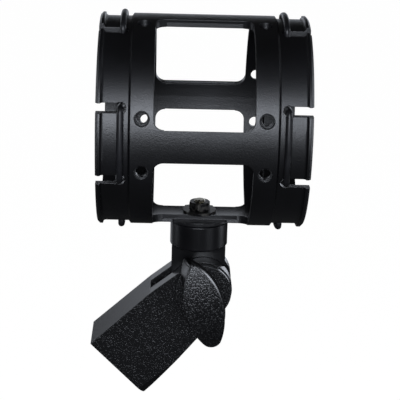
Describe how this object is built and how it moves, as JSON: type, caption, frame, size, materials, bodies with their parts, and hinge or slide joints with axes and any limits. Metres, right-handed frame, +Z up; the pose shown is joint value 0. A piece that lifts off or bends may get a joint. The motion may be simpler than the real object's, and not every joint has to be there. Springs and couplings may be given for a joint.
{
  "type": "microphone shock mount",
  "caption": "Microphone shock mount: slotted tubular cage with crossed rubber bands on a swivel neck, with a tilting stand adapter clamped by a wing knob.",
  "frame": {"origin": "centre of the cage, on the microphone's axis", "axes": "+X along the microphone's axis, +Z up through the cage from the neck, -Y towards the clamp knob"},
  "size_m": [0.0756, 0.0776, 0.1429],
  "materials": {
    "moulded_plastic": "fine matte moulded black",
    "grained_plastic": "coarse grained moulded black",
    "band_rubber": "smooth black rubber",
    "washer_rubber": "dull black rubber",
    "dark_steel": "blackened steel",
    "bright_steel": "zinc plated steel",
    "insert_brass": "plain brass"
  },
  "bodies": {
    "adapter": {"stand_adapter": "grained_plastic", "thread_insert": "insert_brass", "clamp_nut": "bright_steel", "front_friction_washer": "washer_rubber", "back_friction_washer": "washer_rubber"},
    "neck": {"neck_stem": "moulded_plastic", "neck_stud": "bright_steel", "bar_washer": "dark_steel", "lock_nut": "dark_steel"},
    "cage": {"cage_frame": "moulded_plastic", "left_vertical_band": "band_rubber", "left_horizontal_band": "band_rubber", "right_vertical_band": "band_rubber", "right_horizontal_band": "band_rubber"},
    "knob": {"wing_knob": "grained_plastic", "clamp_screw": "bright_steel", "knob_washer": "dark_steel"}
  },
  "joints": [
    {"name": "tilt", "type": "hinge", "parent": "adapter", "child": "neck", "pos_m": [0.0019, 0, -0.0619], "axis": [0, 1, 0], "range_deg": [-45, 135]},
    {"name": "cage_swivel", "type": "hinge", "parent": "neck", "child": "cage", "pos_m": [0, 0, -0.03705], "axis": [0, 0, 1], "continuous": true},
    {"name": "knob_turn", "type": "hinge", "parent": "adapter", "child": "knob", "pos_m": [0.0019, -0.01, -0.0619], "axis": [0, 1, 0], "continuous": true}
  ]
}
